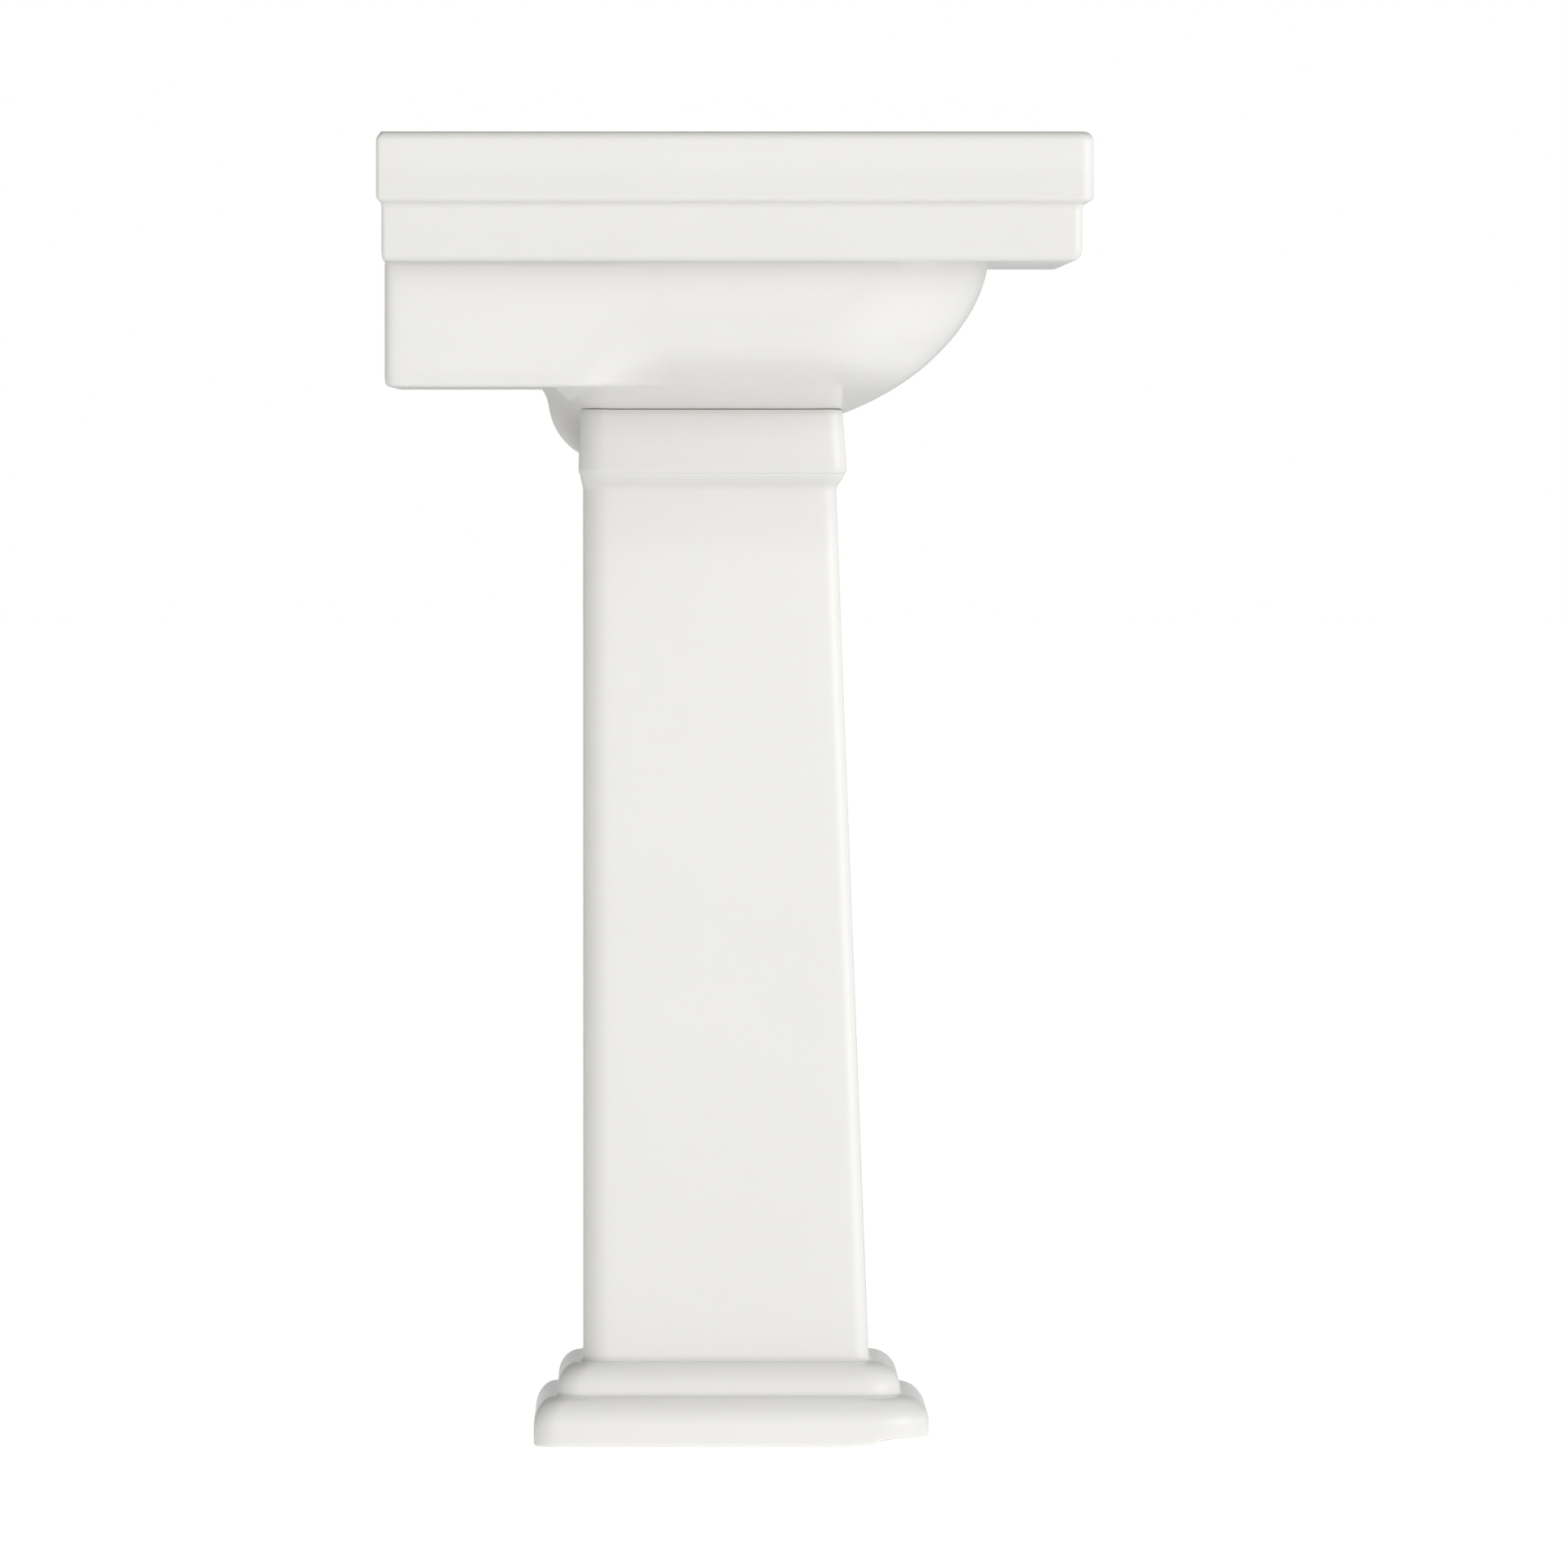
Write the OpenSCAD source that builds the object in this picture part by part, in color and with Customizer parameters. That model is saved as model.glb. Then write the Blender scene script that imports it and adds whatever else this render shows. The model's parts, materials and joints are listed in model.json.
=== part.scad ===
// Pedestal lavatory: a vitreous china basin on a hollow china column, with its push-button waste
// and a bottle trap inside the column.
// X runs across the basin, -Y points at the user, +Y at the wall and Z up. The origin lies on the
// floor below the middle of the basin. All sizes are in millimetres.

/* [Basin] */
// Width across the rim
basin_w = 610; // [600:1:620]
// Depth from the front of the rim to the wall
basin_d = 480; // [476:1:484]
// Height of the rim above the floor
rim_h = 890; // [888:1:894]
// Height of the upper band of the stepped edge
upper_band_h = 47; // [42:1:50]
// Height of both bands of the stepped edge together
both_bands_h = 86.5; // [86:0.5:88]
// Set-back of the lower band behind the upper one
band_step = 7.5; // [5:0.5:9]
// Width of the raised border round the top
border_w = 26; // [22:1:28]
// Depth of the sunk field inside the border
border_drop = 4; // [2:0.5:5]
// Width of the bowl opening
opening_w = 506; // [500:1:508]
// Distance of the tap holes from the wall
tap_line = 62; // [58:1:66]
// Distance from the middle tap hole to each outer one
tap_spacing = 101.6; // [95:0.1:105]
// Diameter of a tap hole
tap_hole_d = 35; // [32:0.5:36]

/* [Column] */
// Width of the foot at the floor
foot_w = 272; // [268:1:276]
// Width of the shaft just above the foot
shaft_foot_w = 190; // [186:1:192]
// Width of the shaft just below the cap
shaft_top_w = 166; // [164:1:170]
// Thickness of the column's wall
column_wall = 12; // [11:0.5:13]
// Width of the service opening in the back
slot_w = 116; // [100:1:118]

/* [Waste] */
// Distance of the waste from the middle of the basin, towards the wall
waste_y = 48; // [46:1:50]
// Diameter of the waste hole in the china
waste_hole_d = 44.5; // [44:0.5:45.5]
// Travel of the push-button stopper
stopper_travel = 8; // [6:0.5:8]
// Outside diameter of the tailpiece
tailpiece_d = 31.75; // [31:0.05:32]

/* [Hidden] */

eps = 0.01;       // keeps neighbouring corner points apart
fine = 64;        // facets of a round part

china = "#efeeea";
chrome = "#c9cccf";
brass = "#c9a655";
rubber = "#2b2b2c";
nylon = "#e8e6df";

// Basin levels and outline
front = -basin_d / 2;
wall = basin_d / 2;
field_z = rim_h - border_drop;           // sunk field round the bowl
shelf_z = rim_h - both_bands_h;          // underside of the stepped edge
deck_t = 12;                             // china over the rear hollow
apron_bottom = 719;                      // lower edge of the rear apron
apron_wall = 11;
apron_back = wall - 5;
wing_front = 38;                         // the apron's side walls are lost in the bowl here
wing_back = 104;
body_hw = basin_w / 2 - 43;              // half width of the bowl's body
body_top = shelf_z + 2.5;
tap_y = wall - tap_line;

// Bowl, outside and inside, as [half width, front, back, depth] below body_top
bowl_out = [body_hw, 172, 142, 118];
bowl_in = [body_hw - 12, 160.5, 128, 102];
bowl_levels = [0.93, 0.9, 0.86, 0.81, 0.76, 0.71, 0.65, 0.58, 0.5, 0.4, 0.28, 0.14, 0];
bowl_steps = 9;
opening_front = -190;
opening_back = 129;
seat_z = 708;                            // china under the waste flange
seat_r = 36;
boss_r = 34;
boss_bottom = 668;

// Overflow channel behind the bowl
duct_w = 64;
duct_bend_y = 83;
duct_bend_z = 712;
duct_bend_r = 43.5;
duct_back = 152;
channel_w = 42;
overflow_z = 857;
overflow_w = 36;
overflow_h = 9;

// Column levels and outline
foot_front = -133;
foot_back = 136;
foot_inset = (foot_w - shaft_foot_w) / 2;
plinth_h = 60;
shaft_front = -70;                       // at the top; the foot of the shaft stands 22 further out
column_back = 102.5;
cove_z = 649;
cap_bottom = 661;
cap_top = 711;
bowl_gap = 1;                            // bed between bowl and cap

// Waste levels, from the china seat downwards
flange_z = seat_z + 1.5;
flange_t = 3;
body_r = 20.3;
body_bore = 17;
body_bottom = 628;
bar_z = 684;
bar_t = 4;
nut_top = 654;
nut_t = 12;
tail_r = tailpiece_d / 2;
tail_bore = tail_r - 1;
tail_top = 640;
tail_bottom = 551;
washer_t = 1.5;

// Stopper levels when it is open
seal_z = flange_z + flange_t + stopper_travel;
seal_t = 2;
cap_z = seal_z + seal_t;
barrel_bottom = 698;
barrel_top = cap_z;

// Trap levels
trap_top = 560;
trap_bottom = 442;
cup_joint = 518;                          // seam between the trap's body and its cup
trap_r = 30;
neck_bottom = 545;
outlet_z = 540;
outlet_end = 96;

// ---- shapes used more than once ----

// Points of a level rectangle with round corners, anticlockwise from above
function outline(half_w, y_front, y_back, r_front, r_back, z, steps = 6) = [
    for (c = [[1, y_back - r_back, r_back, 0], [-1, y_back - r_back, r_back, 90],
              [-1, y_front + r_front, r_front, 180], [1, y_front + r_front, r_front, 270]],
         k = [0 : steps])
        [c[0] * (half_w - c[2]) + c[2] * cos(c[3] + 90 * k / steps),
            c[1] + c[2] * sin(c[3] + 90 * k / steps), z]
];

// A solid through a stack of outlines that have the same number of points
module loft(rings) {
    n = len(rings[0]);
    top = n * (len(rings) - 1);
    sides = [for (i = [0 : len(rings) - 2], k = [0 : n - 1])
        let (a = i * n + k, b = i * n + (k + 1) % n)
        each [[a, a + n, b], [b, a + n, b + n]]];
    polyhedron([for (ring = rings) each ring],
        concat([[for (k = [0 : n - 1]) k]], sides, [[for (k = [n - 1 : -1 : 0]) top + k]]));
}

// Exact flat rectangle with round corners
module round_rect(half_w, y_front, y_back, r) {
    translate([-half_w + r, y_front]) square([2 * (half_w - r), y_back - y_front]);
    translate([-half_w, y_front + r]) square([2 * half_w, y_back - y_front - 2 * r]);
    for (x = [-half_w + r, half_w - r], y = [y_front + r, y_back - r])
        translate([x, y]) circle(r, $fn = fine);
}

module ring(r_out, r_in, z0, z1) {
    translate([0, waste_y, z0]) difference() {
        cylinder(r = r_out, h = z1 - z0, $fn = fine);
        translate([0, 0, -1]) cylinder(r = r_in, h = z1 - z0 + 2, $fn = fine);
    }
}

module hex_ring(flats, r_in, z0, z1) {
    translate([0, waste_y, z0]) difference() {
        cylinder(d = flats / cos(30), h = z1 - z0, $fn = 6);
        translate([0, 0, -1]) cylinder(r = r_in, h = z1 - z0 + 2, $fn = fine);
    }
}

// ---- basin ----

// One level of the stepped edge, set back from the full size of the rim
function edge_ring(inset, z) = outline(basin_w / 2 - inset, front + inset, wall - min(inset, 2 + inset / 5),
    max(9 - inset / 3, 4), 3, z);

// The two bands as one solid: a rounded lower band, a small cove, and the taller band over it
module stepped_edge() {
    band_foot = rim_h - upper_band_h;
    loft(concat(
        [for (a = [90 : -22.5 : 0]) edge_ring(band_step + 6 * (1 - cos(a)), shelf_z + 7 * (1 - sin(a)))],
        [for (a = [0 : 30 : 90]) edge_ring(band_step - 2 * (1 - cos(a)), band_foot - 4 + 2 * sin(a))],
        [for (a = [60 : -30 : 0]) edge_ring(2.5 * (1 - cos(a)), band_foot + 2.5 * (1 - sin(a)))],
        [for (a = [0 : 15 : 90]) edge_ring(6.5 * (1 - cos(a)), rim_h - 6.5 * (1 - sin(a)))]));
}

// Casting hollow inside the front and the sides of the edge, with the hole that drains it
module edge_hollow() {
    wall_t = 12;
    translate([0, 0, shelf_z + wall_t]) linear_extrude(field_z - deck_t - shelf_z - wall_t) difference() {
        round_rect(basin_w / 2 - band_step - wall_t, front + band_step + wall_t, wall - 100, 6);
        round_rect(opening_w / 2 + wall_t, opening_front - wall_t, wall, 60);
    }
    translate([0, -188, shelf_z - 2]) rotate([40, 0, 0]) cylinder(r = 3, h = 30, $fn = 24);
}

// Open space behind the bowl where the tap shanks and the wall bolts are reached from below
module rear_hollow() {
    translate([-body_hw + apron_wall, bowl_out[2] + 1, apron_bottom - 20])
        cube([2 * (body_hw - apron_wall), apron_back - apron_wall - bowl_out[2] - 1,
            field_z - deck_t - apron_bottom + 20]);
}

// Bowl at share u of its depth: nearly upright sides that turn under late, a long curve in front
function bowl_half_w(b, u) = max(seat_r, b[0] * pow(1 - pow(u, 8), 3));
function bowl_front(b, u) = min(waste_y - seat_r, -b[1] * sqrt(1 - pow(u, 1.7)));
function bowl_back(b, u) = max(waste_y + seat_r, waste_y + (b[2] - waste_y) * sqrt(1 - pow(u, 3.2)));

// The plan corners tighten towards the bottom, which leaves a long flat landing for the column
function ease(t) = let (c = min(1, max(0, t))) c * c * (3 - 2 * c);
function bowl_ring(b, corner, u) =
    let (hw = bowl_half_w(b, u), y0 = bowl_front(b, u), y1 = bowl_back(b, u),
        r = min(corner[0] + (corner[1] - corner[0]) * ease((u - 0.5) / 0.36), hw - 1, (y1 - y0) / 2 - 1))
    outline(hw, y0, y1, r, r, body_top - b[3] * u, bowl_steps);

function seat_ring(z) =
    outline(seat_r, waste_y - seat_r, waste_y + seat_r, seat_r - eps, seat_r - eps, z, bowl_steps);

module bowl_outside() {
    loft(concat([seat_ring(body_top - bowl_out[3] + 3)], [for (u = bowl_levels) bowl_ring(bowl_out, [92, 26], u)]));
}

module bowl_inside() {
    loft(concat([seat_ring(seat_z)], [for (u = bowl_levels) bowl_ring(bowl_in, [80, 50], u)],
        [outline(opening_w / 2 - 1, opening_front + 3, opening_back - 1, 72, 72, field_z - 6, bowl_steps),
            outline(opening_w / 2, opening_front, opening_back, 72, 72, rim_h + 1, bowl_steps)]));
}

// Apron behind the bowl: two side walls and a back wall, open below
module apron() {
    r = 6;
    translate([0, 0, apron_bottom]) linear_extrude(body_top + 4 - apron_bottom) difference() {
        union() {
            translate([-body_hw, wing_back - 2]) square([2 * body_hw, apron_back - r - wing_back + 2]);
            translate([-body_hw + r, 180]) square([2 * (body_hw - r), apron_back - 180]);
            for (side = [-1, 1]) translate([side * (body_hw - r), apron_back - r]) circle(r, $fn = fine);
        }
        translate([-body_hw + apron_wall, 90]) square([2 * (body_hw - apron_wall), apron_back - apron_wall - 90]);
    }
    apron_wing();
    mirror([1, 0, 0]) apron_wing();
}

// Share of the way from the straight apron wall (0) to the side of the bowl (1)
function blend(y) = ease((wing_back - y) / (wing_back - wing_front));

// Section of the wall at y. Its outer face turns from upright to the curve of the bowl's side.
function wing_section(y) =
    let (w = blend(y), low = apron_bottom, high = body_top + 3, x_in = body_hw - apron_wall - 62 * w)
    concat([[x_in, y, high]],
        [for (k = [0 : 12]) let (z = high - (high - low) * (1 - pow(1 - k / 12, 1.6)),
            u = max(0, (body_top - z) / bowl_out[3]))
            [body_hw - (body_hw - bowl_half_w(bowl_out, u)) * w - 0.8 * w, y, z]],
        [[x_in, y, low]]);

module apron_wing() {
    loft([for (y = [wing_front, 46, 54, 62, 70, 78, 86, 95, wing_back, wing_back + 4]) wing_section(y)]);
}

// Outside of the overflow channel: a rib down the back of the bowl that rounds under it
module overflow_duct() {
    rotate([90, 0, 90]) translate([0, 0, -duct_w / 2]) linear_extrude(duct_w) {
        polygon([[duct_bend_y, boss_bottom + 0.5], [duct_bend_y + duct_bend_r - 2, duct_bend_z - 12],
            [duct_bend_y + duct_bend_r, duct_bend_z], [duct_back, 752], [duct_back, field_z - deck_t + 1],
            [opening_back + 4, field_z - deck_t + 1], [opening_back - 10, 760], [waste_y, 700],
            [waste_y, boss_bottom + 0.5]]);
        translate([duct_bend_y, duct_bend_z]) circle(duct_bend_r, $fn = fine);
    }
}

// Waterway from the slot in the bowl down to the side of the waste hole
module overflow_channel() {
    rotate([90, 0, 90]) translate([0, 0, -channel_w / 2]) linear_extrude(channel_w)
        polygon([[135, overflow_z + 8], [143.5, overflow_z + 8], [143.5, 754], [118, 714],
            [111, 692], [96, 677], [waste_y, 677], [waste_y, 687], [92, 687], [101, 697], [110, 718], [135, 757]]);
    translate([-overflow_w / 2 + overflow_h / 2, opening_back - 20, overflow_z - overflow_h / 2])
        cube([overflow_w - overflow_h, 35, overflow_h]);
    for (side = [-1, 1])
        translate([side * (overflow_w - overflow_h) / 2, opening_back - 20, overflow_z])
            rotate([-90, 0, 0]) cylinder(d = overflow_h, h = 35, $fn = fine);
}

module tap_holes() {
    for (x = [-tap_spacing, 0, tap_spacing])
        translate([x, tap_y, field_z - deck_t - 1]) cylinder(d = tap_hole_d, h = deck_t + 10, $fn = fine);
}

module wall_holes() {
    for (x = [-140, 140])
        translate([x, apron_back - apron_wall - 1, 765]) rotate([-90, 0, 0]) cylinder(r = 7, h = apron_wall + 2, $fn = fine);
}

module basin() {
    color(china) difference() {
        union() {
            difference() {
                stepped_edge();
                edge_hollow();
                rear_hollow();
            }
            apron();
            bowl_outside();
            overflow_duct();
            translate([0, waste_y, boss_bottom]) cylinder(r = boss_r, h = seat_z - boss_bottom - 8, $fn = fine);
        }
        translate([0, 0, field_z])
            linear_extrude(border_drop + 1) round_rect(basin_w / 2 - border_w, front + border_w, wall - border_w, 14);
        bowl_inside();
        overflow_channel();
        translate([0, waste_y, boss_bottom - 1]) cylinder(d = waste_hole_d, h = 60, $fn = fine);
        tap_holes();
        wall_holes();
    }
}

// ---- column ----

// One level of the foot, set in from the floor outline until it meets the shaft
function foot_ring(inset, z) = outline(foot_w / 2 - inset, foot_front + inset,
    foot_back - inset * (foot_back - column_back) / foot_inset, 38 - 0.67 * inset, 16 + 0.05 * inset, z);

// One level of the shaft, from its foot (0) to its top (1)
function shaft_ring(t, z, out = [0, 0, 0]) = outline(shaft_foot_w / 2 + t * (shaft_top_w - shaft_foot_w) / 2 + out[0],
    shaft_front - 22 * (1 - t) - out[1], column_back + out[2], 10.5, 18, z);

// Hollow under the cap, as [share of its overhang, rise]
cove = [[0.08, 2.4], [0.18, 3.6], [0.5, 6.3], [0.88, 9.8], [1, 11.5]];

module column_outside() {
    loft(concat(
        [foot_ring(1.5, 0), foot_ring(0, 1.5)],
        [for (a = [0 : 15 : 90]) foot_ring(18 * (1 - cos(a)), 13 + 21 * sin(a))],
        [for (a = [0 : 15 : 90]) foot_ring(19.5 + 18.5 * (1 - cos(a)), 37.5 + 19 * sin(a))],
        [for (t = [0.003 : 0.249 : 1]) shaft_ring(t, plinth_h + 1.5 + t * (cove_z - plinth_h - 1.5))],
        [for (s = cove) shaft_ring(1, cove_z + s[1], s[0] * [11, 5.5, 2])],
        [shaft_ring(1, cap_bottom + 2, [13, 7, 3]), shaft_ring(1, cap_bottom + 4, [13, 7, 3])],
        [for (a = [0 : 15 : 75]) shaft_ring(1, cap_top - 12 + 12 * sin(a),
            [11.5, 4.5, 2] - 9 * (1 - cos(a)) * [1, 1, 1])],
        [shaft_ring(1, cap_top, [2.5, -4.5, -7])]));
}

// Hollow from the floor to the open top, wide in the foot
module column_hollow() {
    function hollow_ring(t, z) = outline(shaft_foot_w / 2 + t * (shaft_top_w - shaft_foot_w) / 2 - column_wall,
        shaft_front - 22 * (1 - t) + column_wall, column_back - column_wall, 7, 7, z);
    loft([foot_ring(18, -1), foot_ring(18, 18), foot_ring(24, 30), hollow_ring(0, plinth_h - 6),
        hollow_ring(1, cove_z), hollow_ring(1, cap_top + 1)]);
}

module service_slot() {
    r = 20;
    bottom = plinth_h + 6;
    translate([0, 150, 0]) rotate([90, 0, 0]) linear_extrude(90) {
        translate([-slot_w / 2, bottom + r]) square([slot_w, cap_top]);
        translate([-slot_w / 2 + r, bottom]) square([slot_w - 2 * r, r + 1]);
        for (side = [-1, 1]) translate([side * (slot_w / 2 - r), bottom + r]) circle(r, $fn = fine);
    }
}

// Shelf inside the back of the foot that takes the two floor screws
module floor_lug() {
    translate([-82, 68, 0]) cube([164, 54, 14]);
}

module pedestal() {
    color(china) difference() {
        union() {
            difference() {
                column_outside();
                column_hollow();
            }
            floor_lug();
        }
        service_slot();
        translate([0, 0, -bowl_gap]) bowl_outside();
        for (side = [-1, 1]) translate([side * 60, 88, -1]) cylinder(r = 4.5, h = 16, $fn = fine);
        pad_shapes(0.05);
    }
}

// Four rubber buttons let into the top of the cap, on which the bowl beds
module pad_shapes(clear) {
    for (x = [-76, 76], y = [-30, 62]) translate([x, y, 690]) cylinder(r = 3.5 + clear, h = 30, $fn = fine);
}

module cushion_pads() {
    color(rubber) difference() {
        pad_shapes(0);
        bowl_outside();
    }
}

// ---- waste ----

module drain_body() {
    color(chrome) translate([0, waste_y, 0]) difference() {
        union() {
            difference() {
                rotate_extrude($fn = fine) polygon([[body_bore, body_bottom], [body_r, body_bottom],
                    [body_r, flange_z], [31.5, flange_z], [31.5, flange_z + 1], [29, flange_z + flange_t],
                    [22, flange_z + flange_t], [19, flange_z], [body_bore, flange_z - 4]]);
                overflow_windows();
            }
            intersection() {
                translate([-body_r + 1, -4, bar_z]) cube([2 * body_r - 2, 8, bar_t]);
                cylinder(r = body_r - 1, h = 900, $fn = fine);
            }
            translate([0, 0, bar_z - 2]) cylinder(r = 6, h = bar_t + 2, $fn = fine);
        }
        translate([0, 0, bar_z - 5]) cylinder(r = 3, h = 20, $fn = fine);
    }
}

module overflow_windows() {
    for (turn = [0, 90]) rotate(turn) translate([-30, -6, 673]) cube([60, 12, 10]);
}

module flange_gasket() {
    color(nylon) ring(30, waste_hole_d / 2, seat_z, flange_z);
}

module cone_gasket() {
    color(rubber) translate([0, waste_y, 0]) rotate_extrude($fn = fine)
        polygon([[body_r, nut_top + 2], [33, nut_top + 2], [33, nut_top + 6], [27, boss_bottom], [body_r, boss_bottom]]);
}

module friction_washer() {
    color(nylon) ring(31, body_r, nut_top, nut_top + 2);
}

module drain_locknut() {
    color(brass) {
        hex_ring(56, body_r, nut_top - nut_t, nut_top - 3);
        ring(31, body_r, nut_top - 3, nut_top);
    }
}

module stopper_cap() {
    color(chrome) translate([0, waste_y, cap_z]) rotate_extrude($fn = fine)
        polygon([[0, 0], [24, 0], [25, 1], [25, 2], [23.5, 3.6], [19, 4.8], [12, 5.6], [0, 6]]);
}

module stopper_seal() {
    color(rubber) ring(23, 16, seal_z, seal_z + seal_t);
}

module stopper_barrel() {
    color(brass) translate([0, waste_y, barrel_bottom]) difference() {
        cylinder(r = 7.5, h = barrel_top - barrel_bottom, $fn = fine);
        translate([0, 0, -1]) cylinder(r = 5.6, h = barrel_top - barrel_bottom - 1.5, $fn = fine);
    }
}

module stopper_post() {
    color(brass) translate([0, waste_y, 0]) {
        translate([0, 0, bar_z - 4]) cylinder(r = 3, h = 699 - bar_z + 4, $fn = fine);
        translate([0, 0, 699]) cylinder(r = 5.5, h = 2, $fn = fine);
        translate([0, 0, 701]) cylinder(r = 2.2, h = 8, $fn = fine);
    }
}

// Return spring between the post's collar and the closed end of the barrel
spring_turns = 6;
spring_r = 4;
spring_wire = 0.55;
spring_z0 = 701 + spring_wire;
spring_z1 = barrel_top - 2.5 - spring_wire;
spring_steps = 16;
spring_sides = 6;
function spring_point(i, k) =
    let (a = 360 * i / spring_steps, b = 360 * k / spring_sides, r = spring_r + spring_wire * cos(b))
    [r * cos(a), r * sin(a),
        spring_z0 + (spring_z1 - spring_z0) * i / (spring_turns * spring_steps) + spring_wire * sin(b)];

module stopper_spring() {
    n = spring_turns * spring_steps;
    points = [for (i = [0 : n], k = [0 : spring_sides - 1]) spring_point(i, k)];
    sides = [for (i = [0 : n - 1], k = [0 : spring_sides - 1])
        let (a = i * spring_sides + k, b = i * spring_sides + (k + 1) % spring_sides)
        [b, a, a + spring_sides, b + spring_sides]];
    ends = [[for (k = [0 : spring_sides - 1]) k],
        [for (k = [spring_sides - 1 : -1 : 0]) n * spring_sides + k]];
    color(chrome) translate([0, waste_y, 0]) polyhedron(points, concat(sides, ends));
}

module tailpiece() {
    color(chrome) translate([0, waste_y, 0]) rotate_extrude($fn = fine)
        polygon([[tail_bore, tail_bottom], [tail_r, tail_bottom], [tail_r, body_bottom - washer_t - 3],
            [body_r - 0.5, body_bottom - washer_t - 3], [body_r - 0.5, body_bottom - washer_t],
            [body_bore, body_bottom - washer_t], [body_bore, tail_top], [tail_bore, tail_top]]);
}

module tailpiece_washer() {
    color(nylon) ring(body_r - 0.5, body_bore, body_bottom - washer_t, body_bottom);
}

// ---- bottle trap ----

module trap_body() {
    color(chrome) difference() {
        union() {
            difference() {
                union() {
                    translate([0, waste_y, cup_joint]) cylinder(r = trap_r, h = trap_top - 4 - cup_joint, $fn = fine);
                    translate([0, waste_y, trap_top - 4]) cylinder(r1 = trap_r, r2 = trap_r - 5, h = 4, $fn = fine);
                }
                translate([0, waste_y, cup_joint - 1]) cylinder(r = trap_r - 3, h = trap_top - 3 - cup_joint, $fn = fine);
            }
            translate([0, waste_y, neck_bottom]) cylinder(r = 20, h = trap_top + 12 - neck_bottom, $fn = fine);
            translate([0, waste_y + trap_r - 2, outlet_z]) rotate([-90, 0, 0])
                cylinder(r = 20, h = outlet_end - waste_y - trap_r + 2, $fn = fine);
        }
        translate([0, waste_y, neck_bottom + 3]) cylinder(r = 17, h = 40, $fn = fine);
        translate([0, waste_y, neck_bottom - 1]) cylinder(r = 15.7, h = 40, $fn = fine);
        translate([0, waste_y + 21, outlet_z]) rotate([-90, 0, 0]) cylinder(r = 16, h = 60, $fn = fine);
    }
}

module trap_inlet_washer() {
    color(rubber) ring(20, tail_r, trap_top + 12, trap_top + 15);
}

module slip_nut() {
    difference() {
        union() {
            cylinder(d = 46 / cos(30), h = 7, $fn = 6);
            cylinder(r = 24, h = 14, $fn = fine);
        }
        translate([0, 0, -1]) cylinder(r = 20.1, h = 12, $fn = fine);
        cylinder(r = 16.2, h = 20, $fn = fine);
    }
}

module trap_inlet_nut() {
    color(chrome) translate([0, waste_y, trap_top + 4]) slip_nut();
}

module trap_outlet_nut() {
    color(chrome) translate([0, outlet_end - 8, outlet_z]) rotate([-90, 0, 0]) slip_nut();
}

module trap_outlet_washer() {
    color(rubber) translate([0, outlet_end, outlet_z]) rotate([-90, 0, 0]) difference() {
        cylinder(r = 20, h = 3, $fn = fine);
        translate([0, 0, -1]) cylinder(r = 16, h = 5, $fn = fine);
    }
}

// Inner tube hung by its flange from the ledge in the neck, with its lower end under the water line
module trap_dip_tube() {
    color(nylon) {
        ring(15.6, 14, 462, neck_bottom + 3);
        ring(16.9, 14, neck_bottom + 3, tail_bottom - 1);
    }
}

module trap_cup() {
    color(chrome) translate([0, waste_y, 0]) rotate_extrude($fn = fine)
        polygon([[0, trap_bottom], [20, trap_bottom], [27, trap_bottom + 3], [trap_r, trap_bottom + 9],
            [trap_r, cup_joint - 1.5], [trap_r - 3, cup_joint - 1.5], [trap_r - 3, trap_bottom + 11],
            [25, trap_bottom + 6], [18, trap_bottom + 3], [0, trap_bottom + 3]]);
}

module trap_cup_seal() {
    color(rubber) ring(trap_r - 0.3, trap_r - 2.8, cup_joint - 1.5, cup_joint);
}

basin();
pedestal();
cushion_pads();
drain_body();
flange_gasket();
cone_gasket();
friction_washer();
drain_locknut();
stopper_cap();
stopper_seal();
stopper_barrel();
stopper_post();
stopper_spring();
tailpiece();
tailpiece_washer();
trap_body();
trap_inlet_nut();
trap_inlet_washer();
trap_dip_tube();
trap_cup();
trap_cup_seal();
trap_outlet_nut();
trap_outlet_washer();
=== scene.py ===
# %% [markdown]
# # A pedestal sink in vitreous china
# The sink is two castings: a basin with a stepped square rim, and a hollow column that it rests on.
# The measured model comes first, as a frame that nothing here moves. The castings are then shaped
# again as smooth china, because a fired and glazed surface has no hard edge anywhere, and the metal,
# rubber and nylon pieces keep their measured shapes and get their finishes.

# %% Load the measured model
import json
import math

import bmesh
import bpy
from mathutils import Matrix, Vector


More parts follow.
